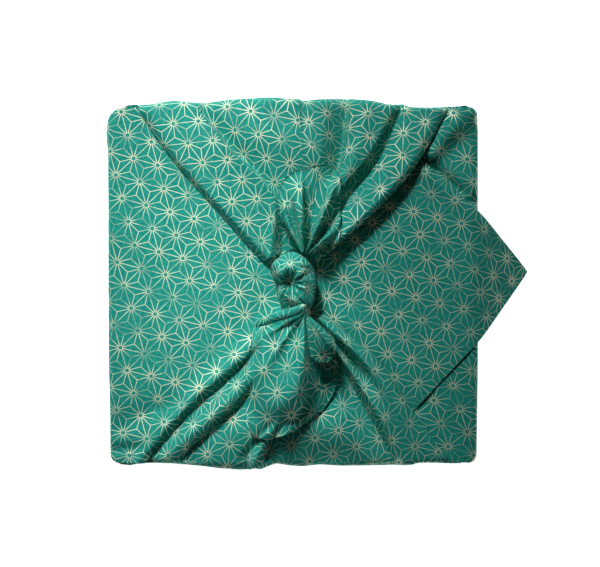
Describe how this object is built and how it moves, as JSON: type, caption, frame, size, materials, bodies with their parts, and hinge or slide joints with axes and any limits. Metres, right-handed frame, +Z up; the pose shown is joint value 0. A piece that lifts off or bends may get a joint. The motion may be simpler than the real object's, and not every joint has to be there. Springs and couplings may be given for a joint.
{
  "type": "furoshiki wrap",
  "caption": "Square cloth folded over a flat square parcel, with its back and front corners gathered and tied on top and a side corner left as a flap",
  "frame": {"origin": "middle of the parcel's base, on the surface it rests on", "axes": "+Z up, +X to the side where the flap hangs, +Y to the back, where the upper free end points"},
  "size_m": [0.3083, 0.266, 0.077],
  "materials": {
    "printed_cotton": "teal cotton with a hemp-leaf pattern printed in metallic gold"
  },
  "bodies": {
    "root": {"furoshiki_cloth": "printed_cotton"}
  },
  "joints": []
}
